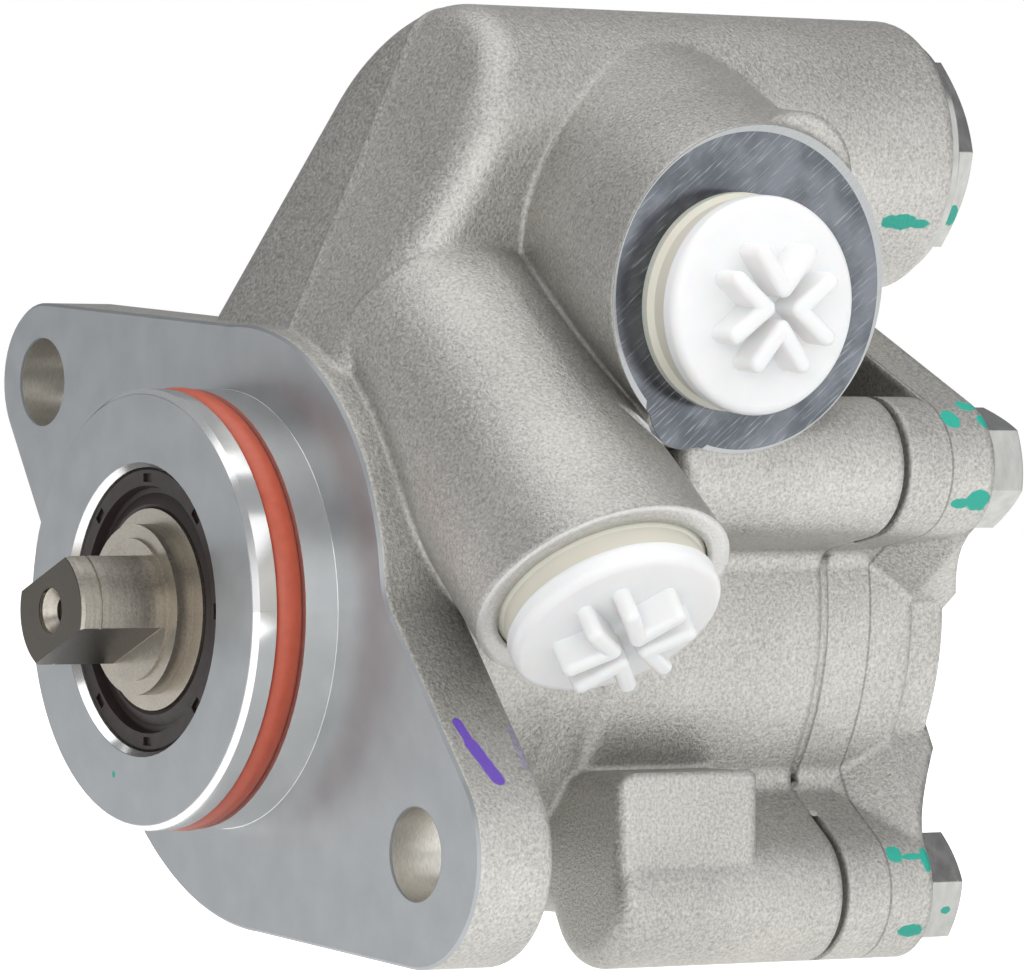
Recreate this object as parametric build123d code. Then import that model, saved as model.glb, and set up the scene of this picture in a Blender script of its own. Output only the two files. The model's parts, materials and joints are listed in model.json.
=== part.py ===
from build123d import *
import math
import os

os.makedirs("parts", exist_ok=True)

# Vane pump for power steering, with a two-hole flange and a driving tang.
# Frame: the shaft turns about Y with its driving end towards -Y, and Z is up as the pump is mounted.
# The origin is on the shaft axis, in the plane of the flange's machined face.
# Angles in the XZ plane are in degrees from +X towards +Z, and all lengths are in millimetres.

# Pilot and its sealing ring
PILOT_R = 31.0
PILOT_LENGTH = 13.4
PILOT_CHAMFER = 0.8
RING_SECTION = 3.5
RING_SET_BACK = 3.5
RING_GROOVE_WIDTH = 4.7
RING_GROOVE_DEPTH = 3.35
FIT_GAP = 0.05

# How far joined forms reach into each other, and cuts past a face
OVERLAP = 1.0

# Flange
FLANGE_THICK = 12.5
HOLE_CIRCLE = 120.4
HOLE_ANGLE = -32.8
HOLE_R = 6.5
HOLE_RUN_OUT = 20.0
UPPER_LOBE_R = 11.6
LOWER_LOBE_R = 15.7
FLANGE_CORE_R = 42.3
FLANGE_TOP_DROP = 2.1
FLANGE_LEFT_R = 37.6
FLANGE_FOOT_R = 41.0
FLANGE_RIGHT_R = 46.2
FLANGE_INNER_R = 10.0
FLANGE_BEVEL = 0.4
FLANGE_REAR_R = 1.5
FLANGE_ROOT_R = 3.5

# The casting is turned about the shaft, so that the valve housing leans to +X
ROLL = -13.6
BARREL_R = 40.0
NECK_DROP = 2.0
NECK_FLARE = 11.0
NECK_STEP = 0.5
JOINT_Y = 75.6
BOLT_HALF_ACROSS = 43.6
BOLT_HALF_UP = 31.1
BOLT_BOSS_R = 10.0
BOSS_FRONT_Y = 38.5
BOSS_EDGE_R = 3.0
WEB_ROOT_R = 6.0
WEB_FILLET = 3.0

# Flat-sided pad beside the lower bolt boss
PAD_SIDE = 44.0
PAD_FRONT_Y = 38.5
PAD_LENGTH = 24.0
PAD_RISE = 20.3
PAD_EDGE_R = 2.5

# Valve housing
VALVE_UP = 67.8
VALVE_R = 19.7
VALVE_END_Y = 103.0
TOWER_FOOT_Y = 1.0
TOWER_FOOT_UP = 35.0
TOWER_ROOT_UP = 20.0
TOWER_TOP_Y = 27.0
TOWER_EDGE_R = 6.0
TOWER_ROOT_R = 4.0
PARTING_X = 12.0
PARTING_STEP = 0.2
PARTING_RISE = 0.35
PARTING_WIDTH = 0.7
VALVE_EDGE_R = 1.4
VALVE_BORE_R = 9.0
VALVE_BORE_FRONT = 28.0
PLUG_THREAD_R = 11.0
PLUG_THREAD_LENGTH = 14.0
PLUG_SEAL_R = 13.4
PLUG_SINK = 1.0
PLUG_NOSE = 3.0
PLUG_FLANGE_R = 17.9
PLUG_FLANGE = 2.0
PLUG_ACROSS = 27.0
PLUG_HEX = 5.3
PLUG_RIM = 0.3
PLUG_CROWN = 1.4
PLUG_CROWN_R = 15.66
PLUG_NOSE_STEP = 1.5
SPOOL_LENGTH = 36.0
SPOOL_GAP = 0.03
SPOOL_CUP_R = 6.0
SPOOL_CUP = 14.0
SPOOL_FRONT_LAND = 11.0
SPOOL_WAIST = 2.5
SPOOL_REAR_LAND = 9.0
SPOOL_STEP = 3.0
SPRING_COIL_R = 4.9
SPRING_WIRE_R = 0.8
SPRING_TURNS = 6.0

# Suction port: the boss leans away from the machined ring's own axis
SUCTION_FACE = (62.4, 46.9, 44.2)
SUCTION_ANGLE = -6.0
SUCTION_FACE_R = 22.2
SUCTION_SPOT_R = 26.0
SUCTION_ROOT = (18.0, 56.0, 59.0)
SUCTION_ROOT_R = 24.0
SUCTION_SHIFT_Y = -2.5
SUCTION_SHIFT_UP = -1.5
MILLED_WEB = (18.5, 240.0, 6.0)
UPPER_WEB = (18.0, 62.0, 9.0)
UPPER_WEB_SINK = 1.5
WEB_DEPTH = 26.0
SUCTION_WAY_R = 7.0
SUCTION_WAY_SINK = 8.0

# Pressure port: its thread points at the valve's axis, its boss starts lower on the tower
PRESSURE_Y = 21.0
PRESSURE_ANGLE = -52.0
PRESSURE_REACH = 79.7
PRESSURE_FACE_R = 18.2
PRESSURE_ROOT = (22.0, 22.5, 38.0)
PRESSURE_ROOT_R = 17.0
PRESSURE_SINK = 1.8
PRESSURE_WAY_R = 4.0
PRESSURE_WAY_END = (9.9, 34.0, 60.9)

# Both ports take the same thread and the same transit cap
PORT_R = 12.3
PORT_DEPTH = 15.0
CAP_R = 15.1
CAP_HEAD = 8.0
CAP_STEM_R = 12.0
CAP_STEM_LENGTH = 11.0
CAP_WALL = 1.8
CAP_EDGE_R = 1.4
CAP_WAIST_R = 14.4
CAP_SKIRT = 1.2
CAP_SKIRT_SLOPE = 0.8
CAP_RIM = 2.8
CAP_RIM_SLOPE = 0.4
CAP_RIB_SINK = 0.3
CAP_RIB = 5.2
CAP_RIB_WIDTH = 2.5
CAP_RIB_LENGTH = 8.6
CAP_RIB_ANGLE = 38.0
CAP_RIB_START = 1.5
CAP_RIB_EDGE_R = 1.0

# Shaft, its seal and its ball bearing
TANG_R = 8.9
TANG_ACROSS = 10.8
TANG_ANGLE = 21.8
TANG_LENGTH = 12.9
TANG_STANDOFF = 1.5
TANG_GROOVE = 2.9
TANG_GROOVE_WIDTH = 0.4
TANG_GROOVE_DEPTH = 0.25
SHAFT_BEVEL = 0.5
CENTRE_R = 3.2
CENTRE_DRILL_R = 1.92
CENTRE_RIM = 0.6
CENTRE_CONE = 1.6
CENTRE_DEPTH = 6.0
CENTRE_TIP = 2.0
SHOULDER_R = 10.0
COLLAR_R = 12.0
SHAFT_BORE_R = 20.0
BORE_BEVEL = 0.7
BORE_BEVEL_LENGTH = 1.12
SEAL_SEAT_R = 14.2
SEAL_WIDTH = 7.0
SEAL_SET_BACK = 1.3
SEAL_SPRING_R = 0.7
SEAL_POCKETS = 8
SEAL_CASE = 1.6
SEAL_SINK = 1.4
SEAL_WEB = 1.6
LIP_R = 2.2
LIP_EDGE = 4.4
LIP_BACK = 1.7
SHAFT_R = 8.5
SHAFT_ROOM = 0.6
COLLAR_STEP = 3.0
TAIL_BEVEL = 0.8
TAIL_SINK = 0.2
BEARING_WIDTH = 12.0
BEARING_LEDGE = 3.0
CLIP_THICK = 1.75
CLIP_GROOVE = 0.9
CLIP_GAP = 0.3
CLIP_BAND = 2.4
CLIP_OPENING = 9.0
CLIP_EYE_R = 1.9
CLIP_EYE_HOLE_R = 0.9
CLIP_EYE_SET = 2.2
CLIP_EYE_ANGLE = 17.0
BALL_R = 3.2
BALL_COUNT = 8
BALL_CIRCLE = 28.5
BALL_GAP = 0.3
RACE_STEP = 2.1
CAGE_HALF = 1.0
CAGE_RIM = 0.8

# Pumping cartridge
CAVITY_R = 34.0
CAVITY_FRONT = 36.0
PLATE_THICK = 9.0
CAM_WIDTH = 18.0
CAM_LONG_R = 27.5
CAM_SHORT_R = 25.2
ROTOR_R = 24.6
VANE_COUNT = 10
VANE_THICK = 2.0
VANE_LENGTH = 8.6
VANE_EDGE_R = 0.6
VANE_ROOM = 0.4
SLOT_FOOT_R = 1.6
TAIL_R = 7.0
PIN_R = 2.0
PIN_CIRCLE = 59.0
PIN_DEPTH = 6.0
PLATE_GROOVE_R = 31.9
KIDNEY_CIRCLE = 41.0
KIDNEY_WIDTH = 5.0
KIDNEY_SPAN = 54.0
SPRING_GAP = 5.0
SPRING_R = 27.0
SPRING_ROOM = 1.0
SPLINE_R = 8.0
VANE_TIP_R = 24.8
CLIP_WIRE = 1.2
CLIP_DEPTH = 0.6
CLIP_STEP = 1.6
CLIP_ROOM_R = 11.0
CLIP_ROOM = 3.0
PIN_END_GAP = 0.2
PLATE_SEAL = 2.0
PLATE_SEAL_ROOM = 2.4
DISH_ACROSS = 14.0
DISH_EDGE = 2.0
DISH_THICK = 1.5

# Rear cover
COVER_THICK = 16.0
COVER_DOME = 7.0
COVER_DOME_R = 38.9
FLARE_RUN = 9.0
FLARE_TAPER = 30.0
FLARE_ACROSS = 31.5
FLARE_UP = 13.0
FLARE_R = 7.0
FLARE_SLOPE_R = 20.0
COVER_REAR_R = 1.5
COVER_FRONT_BEVEL = 0.3
JOINT_GROOVE = 1.3
JOINT_GROOVE_DEPTH = 0.4
BOSS_SLIT_DEPTH = 2.5
SPOT_R = 10.3
ROOF_FRONT = 8.0
ROOF_PEAK = 51.0
VALVE_GAP = 2.3
SPIGOT_GAP = 1.0
TAIL_GAP = 0.5
BUSH_WALL = 1.5
BUSH_FRONT = 4.0
BUSH_SINK = 2.0
BOLT_R = 5.0
BOLT_ACROSS = 15.0
BOLT_HEAD = 7.0
BOLT_WASHER = 0.5
BOLT_WASHER_R = 7.2
BOLT_CROWN = 0.8
BOLT_CROWN_R = 7.05
BOLT_RIM_R = 9.0
BOLT_PLAY = 0.5
BOLT_END_GAP = 3.0
BOLT_DEPTH = 20.0
BOLT_TURNS = (22.5, -6.6, 12.0, 35.0)
SEAL_IN_R = 35.6
SEAL_OUT_R = 38.0
COVER_SEAL_DEPTH = 1.9


def polar(radius, angle):
    """A point of the XZ plane."""
    return radius * math.cos(math.radians(angle)), radius * math.sin(math.radians(angle))


def slab(profile, y_from, y_to):
    """A profile drawn in X and Z, carried along the shaft."""
    placed = Plane((0, y_from, 0), x_dir=(1, 0, 0), z_dir=(0, -1, 0)) * profile
    return extrude(placed, amount=y_to - y_from, dir=(0, 1, 0))


def turned(points):
    """A closed profile of radius and y, turned about the shaft axis."""
    return revolve(make_face(Polyline(*points, close=True)), Axis.Y)


def rod(radius, y_from, y_to, x=0.0, z=0.0):
    """A round bar along the shaft's direction."""
    return slab(Pos(x, z) * Circle(radius), y_from, y_to)


def leaned(shape):
    """A shape drawn upright, turned about the shaft as the casting is."""
    return Rot(0, -ROLL, 0) * shape


def save(shape, name):
    """One node of the part."""
    export_step(shape, "parts/" + name + ".step")


def port_plane(face, angle):
    """The plane of a port's machined face, with its normal out of the port."""
    across, up = polar(1.0, angle)
    return Plane(face, x_dir=(0, 1, 0), z_dir=(across, 0, up))


HOLES = [polar(HOLE_CIRCLE / 2, HOLE_ANGLE), polar(-HOLE_CIRCLE / 2, HOLE_ANGLE)]
VALVE_X, VALVE_Z = polar(VALVE_UP, 90 + ROLL)
CORNERS = [(1, 1), (1, -1), (-1, 1), (-1, -1)]
BOLTS = []
for across_sign, up_sign in CORNERS:
    corner_angle = math.degrees(math.atan2(up_sign * BOLT_HALF_UP, across_sign * BOLT_HALF_ACROSS))
    BOLTS.append(polar(math.hypot(BOLT_HALF_ACROSS, BOLT_HALF_UP), corner_angle + ROLL))

pressure_x, pressure_z = polar(PRESSURE_REACH, PRESSURE_ANGLE)
PRESSURE_FACE = (VALVE_X + pressure_x, PRESSURE_Y, VALVE_Z + pressure_z)
SUCTION_PLANE = port_plane(SUCTION_FACE, SUCTION_ANGLE)
PRESSURE_PLANE = port_plane(PRESSURE_FACE, PRESSURE_ANGLE)
SUCTION_PORT = Plane(
    SUCTION_PLANE.from_local_coords(Vector(SUCTION_SHIFT_Y, SUCTION_SHIFT_UP, 0)),
    x_dir=SUCTION_PLANE.x_dir,
    z_dir=SUCTION_PLANE.z_dir,
)
PRESSURE_PORT = PRESSURE_PLANE

PILOT_FACE_Y = -PILOT_LENGTH
BARREL_NECK_R = BARREL_R - NECK_DROP
SEAL_FRONT = PILOT_FACE_Y + SEAL_SET_BACK
SEAL_BACK = SEAL_FRONT + SEAL_WIDTH
SEAL_SPRING_Y = SEAL_FRONT + LIP_EDGE + 0.4
CLIP_FRONT = SEAL_BACK + CLIP_GAP
BEARING_FRONT = CLIP_FRONT + CLIP_THICK
BEARING_BACK = BEARING_FRONT + BEARING_WIDTH
CAM_FRONT = CAVITY_FRONT + PLATE_THICK
CAM_BACK = CAM_FRONT + CAM_WIDTH
PLATE_BACK = CAM_BACK + PLATE_THICK
SUCTION_WAY_END = (0, CAM_FRONT + CAM_WIDTH / 2, CAVITY_R - SUCTION_WAY_SINK)
PINS = [polar(PIN_CIRCLE / 2, 90 + ROLL), polar(-PIN_CIRCLE / 2, 90 + ROLL)]


def flange_outline():
    """Two lobes and a round core, with a straight top and an almost straight lower edge."""
    upper = HOLES[1]
    lower = HOLES[0]

    def lobe(centre, radius, angle):
        across, up = polar(radius, angle)
        return centre[0] + across, centre[1] + up

    top_left = lobe(upper, UPPER_LOBE_R, 85.5)
    side_left = lobe(upper, UPPER_LOBE_R, 214.0)
    foot_right = lobe(lower, LOWER_LOBE_R, 264.5)
    side_right = lobe(lower, LOWER_LOBE_R, 38.5)
    core_top = polar(FLANGE_CORE_R - FLANGE_TOP_DROP, 86.0)
    core_side = polar(FLANGE_CORE_R, 3.0)
    low_left = polar(FLANGE_LEFT_R, 221.0)
    low_middle = polar(FLANGE_FOOT_R, 252.0)
    low_right = polar(FLANGE_RIGHT_R, 282.0)
    edges = [
        Line(top_left, core_top),
        ThreePointArc(core_top, polar(FLANGE_CORE_R, 42.0), core_side),
        Line(core_side, side_right),
        ThreePointArc(side_right, lobe(lower, LOWER_LOBE_R, -30.0), foot_right),
        Line(foot_right, low_right),
        ThreePointArc(low_right, low_middle, low_left),
        Line(low_left, side_left),
        ThreePointArc(side_left, lobe(upper, UPPER_LOBE_R, 150.0), top_left),
    ]
    outline = make_face(Wire(edges))
    inner_corner = outline.vertices().sort_by_distance(Vector(*core_side, 0))[0]
    return fillet(inner_corner, FLANGE_INNER_R)


def joint_outline():
    """Barrel, four bolt bosses and their webs, as body and cover share them at their joint."""
    outline = Circle(BARREL_R)
    for across_sign, up_sign in CORNERS:
        boss = Pos(across_sign * BOLT_HALF_ACROSS, up_sign * BOLT_HALF_UP) * Circle(BOLT_BOSS_R)
        inward = (BARREL_R - WEB_ROOT_R) / math.hypot(BOLT_HALF_ACROSS, BOLT_HALF_UP)
        root = Pos(across_sign * BOLT_HALF_ACROSS * inward, up_sign * BOLT_HALF_UP * inward)
        outline += make_hull(boss.edges() + (root * Circle(WEB_ROOT_R)).edges())
    creases = [v for v in outline.vertices() if abs(v.center().length - BARREL_R) < 0.1 and abs(v.Y) > 1]
    return fillet(creases, WEB_FILLET)


def tower():
    """Slab up to the valve housing, with a leaning front, a round top and the moulds' parting line."""
    top = VALVE_UP + VALVE_R
    section = Polyline(
        (TOWER_FOOT_Y, TOWER_ROOT_UP),
        (TOWER_FOOT_Y, TOWER_FOOT_UP),
        (TOWER_TOP_Y, top),
        (JOINT_Y, top),
        (JOINT_Y, TOWER_ROOT_UP),
        close=True,
    )
    block = extrude(Plane.YZ * make_face(section), amount=2 * VALVE_R, both=True)
    form = slab(Rectangle(2 * VALVE_R, VALVE_UP, align=(Align.CENTER, Align.MIN)), 0, JOINT_Y)
    form += rod(VALVE_R, 0, JOINT_Y, 0, VALVE_UP)
    block = block & form
    front = block.faces().filter_by(lambda f: -0.99 < f.normal_at().Y < -0.5).sort_by(SortBy.AREA)[-1]
    lower = front.edges().sort_by(Axis.Z)[0]
    block = fillet([e for e in front.edges() if e != lower], TOWER_EDGE_R)
    depth = BOSS_FRONT_Y - BOSS_EDGE_R
    half = Box(6 * VALVE_R, depth, 6 * VALVE_UP, align=(Align.MAX, Align.MIN, Align.CENTER))
    seam = Box(PARTING_WIDTH, depth, 6 * VALVE_UP, align=(Align.CENTER, Align.MIN, Align.CENTER))
    parting = Rot(0, ROLL, 0) * Pos(PARTING_X, 0, 0)
    ridge = Pos(0, -PARTING_RISE, 0) * block & parting * seam
    beyond = Pos(0, PARTING_STEP, 0) * block & parting * half
    return block - parting * half + beyond + ridge


def valve_housing():
    """Round housing of the control valve, with a rounded rear edge."""
    housing = rod(VALVE_R, BOSS_FRONT_Y, VALVE_END_Y, 0, VALVE_UP)
    rear = housing.faces().sort_by(Axis.Y)[-1]
    return fillet(rear.edges(), VALVE_EDGE_R)


def barrel():
    """Round body of the cartridge, narrower behind the flange, with the four bolt bosses."""
    neck_back = BOSS_FRONT_Y + BOSS_EDGE_R + 2 * OVERLAP
    neck = turned([
        (0, FLANGE_THICK - OVERLAP),
        (BARREL_NECK_R, FLANGE_THICK - OVERLAP),
        (BARREL_NECK_R, neck_back - NECK_FLARE),
        (BARREL_R - NECK_STEP, neck_back),
        (0, neck_back),
    ])
    block = slab(joint_outline(), BOSS_FRONT_Y, JOINT_Y)
    front = block.faces().sort_by(Axis.Y)[0]
    return neck + fillet(front.edges(), BOSS_EDGE_R)


def housing():
    """Barrel, tower and valve housing in one, with rounded creases along the tower's flat sides."""
    block = barrel() + tower() + valve_housing()
    creases = []
    for edge in block.edges():
        middle = edge.center()
        beside = abs(abs(middle.X) - VALVE_R) < 0.1 and FLANGE_THICK < middle.Y < JOINT_Y
        if beside and middle.Z < BARREL_R and abs(edge.tangent_at(0.5).Y) > 0.5:
            creases.append(edge)
    return leaned(fillet(creases, min(TOWER_ROOT_R, BARREL_R - CAVITY_R)))


def pilot():
    """Turned pilot with the groove of its sealing ring."""
    groove_front = PILOT_FACE_Y + RING_SET_BACK
    groove_r = PILOT_R - RING_GROOVE_DEPTH
    return turned([
        (0, PILOT_FACE_Y),
        (PILOT_R - PILOT_CHAMFER, PILOT_FACE_Y),
        (PILOT_R, PILOT_FACE_Y + PILOT_CHAMFER),
        (PILOT_R, groove_front),
        (groove_r, groove_front),
        (groove_r, groove_front + RING_GROOVE_WIDTH),
        (PILOT_R, groove_front + RING_GROOVE_WIDTH),
        (PILOT_R, OVERLAP),
        (0, OVERLAP),
    ])


def port_boss(plane, face_r, root, root_r):
    """Tapered round boss from inside the casting, cut off by the machined face of its port."""
    way = plane.origin - Vector(*root)
    shrink = (root_r - face_r) / way.length
    length = way.length + face_r
    cone = Cone(root_r, root_r - shrink * length, length, align=(Align.CENTER, Align.CENTER, Align.MIN))
    return Plane(root, z_dir=way) * cone - extrude(plane * Circle(3 * face_r), amount=2 * face_r)


def suction_webs():
    """Two round webs beside the suction boss; the lower one ends in the plane that the cutter has milled."""
    webs = []
    for (reach, angle, radius), sink in ((MILLED_WEB, 0), (UPPER_WEB, UPPER_WEB_SINK)):
        across, up = polar(reach, angle)
        web = extrude(Pos(across, up) * Circle(radius), amount=-WEB_DEPTH)
        webs.append(SUCTION_PLANE * Pos(0, 0, -sink) * web)
    return webs


def clamping_pad():
    """Flat-sided block beside the lower bolt boss, where the casting is held for machining."""
    pad = Box(PAD_SIDE, PAD_LENGTH, PAD_RISE, align=(Align.MAX, Align.MIN, Align.MIN))
    outer = pad.edges().filter_by(Axis.Z).group_by(Axis.X)[-1]
    pad = fillet(pad.edges().filter_by(Axis.X) + outer, PAD_EDGE_R)
    return Pos(PAD_SIDE, PAD_FRONT_Y, BOLTS[1][1] - PAD_EDGE_R) * pad


def body_bores():
    """Everything that is bored into the casting: shaft, cartridge, valve, ports and bolt holes."""
    bores = turned([
        (0, PILOT_FACE_Y - OVERLAP),
        (SHAFT_BORE_R + BORE_BEVEL, PILOT_FACE_Y - OVERLAP),
        (SHAFT_BORE_R + BORE_BEVEL, PILOT_FACE_Y),
        (SHAFT_BORE_R, PILOT_FACE_Y + BORE_BEVEL_LENGTH),
        (SHAFT_BORE_R, CLIP_FRONT),
        (SHAFT_BORE_R + CLIP_GROOVE, CLIP_FRONT),
        (SHAFT_BORE_R + CLIP_GROOVE, BEARING_FRONT),
        (SHAFT_BORE_R, BEARING_FRONT),
        (SHAFT_BORE_R, BEARING_BACK),
        (SHAFT_BORE_R - BEARING_LEDGE, BEARING_BACK),
        (SHAFT_BORE_R - BEARING_LEDGE, BEARING_BACK + BEARING_LEDGE),
        (SHAFT_R + SHAFT_ROOM, BEARING_BACK + BEARING_LEDGE),
        (SHAFT_R + SHAFT_ROOM, CAVITY_FRONT),
        (CAVITY_R, CAVITY_FRONT),
        (CAVITY_R, JOINT_Y + OVERLAP),
        (0, JOINT_Y + OVERLAP),
    ])
    bores += rod(VALVE_BORE_R, VALVE_BORE_FRONT, VALVE_END_Y, VALVE_X, VALVE_Z)
    bores += rod(PLUG_THREAD_R, VALVE_END_Y - PLUG_THREAD_LENGTH, VALVE_END_Y + OVERLAP, VALVE_X, VALVE_Z)
    bores += rod(PLUG_SEAL_R, VALVE_END_Y - PLUG_SINK, VALVE_END_Y + OVERLAP, VALVE_X, VALVE_Z)
    for x, z in PINS:
        bores += rod(PIN_R + FIT_GAP, CAVITY_FRONT - PIN_DEPTH, CAVITY_FRONT + OVERLAP, x, z)
    for x, z in HOLES:
        bores += rod(HOLE_R, -OVERLAP, FLANGE_THICK + HOLE_RUN_OUT, x, z)
    for x, z in BOLTS:
        bores += rod(BOLT_R, JOINT_Y - BOLT_DEPTH, JOINT_Y + OVERLAP, x, z)
    for port in (SUCTION_PORT, PRESSURE_PORT):
        bores += extrude(port * Circle(PORT_R), amount=-PORT_DEPTH)
    bores += extrude(PRESSURE_PORT * Circle(CAP_R + 3 * FIT_GAP), amount=-PRESSURE_SINK)
    bores += passage(SUCTION_PORT, PORT_DEPTH - OVERLAP, SUCTION_WAY_END, SUCTION_WAY_R)
    bores += passage(PRESSURE_PORT, PORT_DEPTH - OVERLAP, PRESSURE_WAY_END, PRESSURE_WAY_R)
    return bores


def passage(port, depth, end, radius):
    """A drilled way from the bottom of a port to a point inside the casting."""
    start = port.offset(-depth).origin
    way = Vector(*end) - start
    return extrude(Plane(start, z_dir=way) * Circle(radius), amount=way.length)


def flange():
    """Mounting flange with its machined front face, joined to the barrel's neck by a rounded corner."""
    plate = slab(flange_outline(), 0, FLANGE_THICK)
    plate = chamfer(plate.faces().sort_by(Axis.Y)[0].edges(), FLANGE_BEVEL)
    plate = fillet(plate.faces().sort_by(Axis.Y)[-1].edges(), FLANGE_REAR_R)
    section = Polyline(
        (0, FLANGE_THICK),
        (BARREL_NECK_R + FLANGE_ROOT_R, FLANGE_THICK),
        (BARREL_NECK_R, FLANGE_THICK + FLANGE_ROOT_R),
        (0, FLANGE_THICK + FLANGE_ROOT_R),
        close=True,
    )
    corner = revolve(make_face(section), Axis.Y)
    middle = Pos(BARREL_NECK_R + FLANGE_ROOT_R, FLANGE_THICK + FLANGE_ROOT_R)
    hollow = revolve(middle * Circle(FLANGE_ROOT_R), Axis.Y)
    inset = offset(flange_outline(), -FLANGE_REAR_R)
    inside = slab(inset, FLANGE_THICK - OVERLAP, FLANGE_THICK + FLANGE_ROOT_R)
    return plate + ((corner - hollow) & inside)


def pump_body():
    """The casting, machined."""
    cast = flange() + pilot()
    cast += housing()
    cast += port_boss(PRESSURE_PLANE, PRESSURE_FACE_R, PRESSURE_ROOT, PRESSURE_ROOT_R)
    cast += port_boss(SUCTION_PLANE, SUCTION_FACE_R, SUCTION_ROOT, SUCTION_ROOT_R)
    cast += suction_webs()
    cast += clamping_pad()
    cast -= extrude(SUCTION_PLANE * Circle(SUCTION_SPOT_R), amount=PORT_DEPTH)
    return cast - body_bores()


def ring(section_r, radius, y):
    """A round-section ring about the shaft axis."""
    return Pos(0, y, 0) * Rot(90, 0, 0) * Torus(radius, section_r)


def washer(inner, outer, y_from, y_to):
    """A flat ring about the shaft axis."""
    return rod(outer, y_from, y_to) - rod(inner, y_from - OVERLAP, y_to + OVERLAP)


def pilot_ring():
    """Sealing ring in the pilot's groove, squeezed as far as the housing bore squeezes it."""
    middle_r = PILOT_R - RING_GROOVE_DEPTH + RING_SECTION / 2 + FIT_GAP
    return ring(RING_SECTION / 2, middle_r, PILOT_FACE_Y + RING_SET_BACK + RING_SECTION / 2 + FIT_GAP)


def around(shape, count):
    """Copies of a shape, evenly about the shaft axis."""
    return [Rot(0, 360 / count * i, 0) * shape for i in range(count)]


def cover_roof():
    """The plate between the upper bosses, hollowed under the valve housing."""
    slope = (ROOF_PEAK - BOLT_HALF_UP - BOLT_BOSS_R) / BOLT_HALF_ACROSS
    reach = math.hypot(1, slope)
    edge_up = BOLT_HALF_UP + BOLT_BOSS_R / reach
    edge_across = BOLT_HALF_ACROSS + BOLT_BOSS_R * slope / reach
    plate = make_face(Polyline(
        (edge_across, edge_up),
        (0, ROOF_PEAK),
        (-edge_across, edge_up),
        (-BOLT_HALF_ACROSS, BOLT_HALF_UP),
        (BOLT_HALF_ACROSS, BOLT_HALF_UP),
        close=True,
    ))
    return plate - Pos(0, VALVE_UP) * Circle(VALVE_R + VALVE_GAP)


def rear_webs():
    """Flared webs from the dome to the bolt bosses, with a slope down to the face under each head."""
    webs = Part()
    inward = (BARREL_R - WEB_ROOT_R) / math.hypot(BOLT_HALF_ACROSS, BOLT_HALF_UP)
    for across_sign, up_sign in CORNERS:
        boss_x = across_sign * BOLT_HALF_ACROSS
        boss_z = up_sign * BOLT_HALF_UP
        boss = Pos(boss_x, boss_z) * Circle(BOLT_BOSS_R)
        root = Pos(boss_x * inward, boss_z * inward) * Circle(WEB_ROOT_R)
        flare = Pos(across_sign * FLARE_ACROSS, up_sign * FLARE_UP) * Circle(FLARE_R)
        outline = make_hull(boss.edges() + root.edges() + flare.edges())
        web = slab(outline, COVER_BACK, COVER_BACK + COVER_DOME)
        foot = Plane((0, COVER_BACK, 0), x_dir=(1, 0, 0), z_dir=(0, -1, 0)) * outline
        web += extrude(foot, amount=FLARE_RUN, taper=FLARE_TAPER)
        slope = turned([
            (0, COVER_BACK),
            (SPOT_R, COVER_BACK),
            (FLARE_SLOPE_R, COVER_BACK + COVER_DOME),
            (FLARE_SLOPE_R, COVER_BACK + COVER_DOME + OVERLAP),
            (0, COVER_BACK + COVER_DOME + OVERLAP),
        ])
        webs += web - Pos(boss_x, 0, boss_z) * slope
    return webs


def rear_cover():
    """Cover with its dome, four bolt bosses and the roof under the valve housing."""
    cover = slab(joint_outline(), JOINT_Y, COVER_BACK)
    cover = chamfer(cover.faces().sort_by(Axis.Y)[0].edges(), COVER_FRONT_BEVEL)
    cover += slab(cover_roof(), JOINT_Y + ROOF_FRONT, COVER_BACK)
    dome = rod(COVER_DOME_R, COVER_BACK - OVERLAP, COVER_BACK + COVER_DOME)
    cover += fillet(dome.faces().sort_by(Axis.Y)[-1].edges(), COVER_REAR_R)
    cover += rear_webs()
    cover = leaned(cover)
    groove_front = JOINT_Y - OVERLAP
    groove_back = JOINT_Y + JOINT_GROOVE
    cover -= washer(BARREL_R - JOINT_GROOVE_DEPTH, BARREL_R + OVERLAP, groove_front, groove_back)
    for x, z in BOLTS:
        slit = washer(BOLT_BOSS_R - BOSS_SLIT_DEPTH, BOLT_BOSS_R + OVERLAP, groove_front, groove_back)
        cover -= Pos(x, 0, z) * slit
    cover += rod(CAVITY_R - FIT_GAP, PLATE_BACK + SPIGOT_GAP, JOINT_Y)
    cover -= rod(SPRING_R + SPRING_ROOM, PLATE_BACK, PLATE_BACK + SPRING_GAP + FIT_GAP)
    cover -= rod(TAIL_R + BUSH_WALL, PLATE_BACK, COVER_BACK + OVERLAP)
    cover -= washer(SEAL_IN_R, SEAL_OUT_R, JOINT_Y, JOINT_Y + COVER_SEAL_DEPTH)
    for x, z in BOLTS:
        cover -= rod(BOLT_R + BOLT_PLAY, JOINT_Y - OVERLAP, COVER_BACK + OVERLAP, x, z)
    return cover


def cover_bolt():
    """Hexagon bolt with a washer face and a chamfered head, on the shaft axis."""
    seat = COVER_BACK + BOLT_WASHER
    top = COVER_BACK + BOLT_HEAD
    head = slab(RegularPolygon(BOLT_ACROSS / 2, 6, major_radius=False), seat, top)
    crown = turned([
        (0, seat),
        (BOLT_RIM_R, seat),
        (BOLT_RIM_R, top - BOLT_CROWN),
        (BOLT_CROWN_R, top),
        (0, top),
    ])
    bolt = (head & crown) + rod(BOLT_WASHER_R, COVER_BACK, seat)
    return bolt + rod(BOLT_R - FIT_GAP, JOINT_Y - BOLT_DEPTH + BOLT_END_GAP, seat + BOLT_WASHER)


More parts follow.
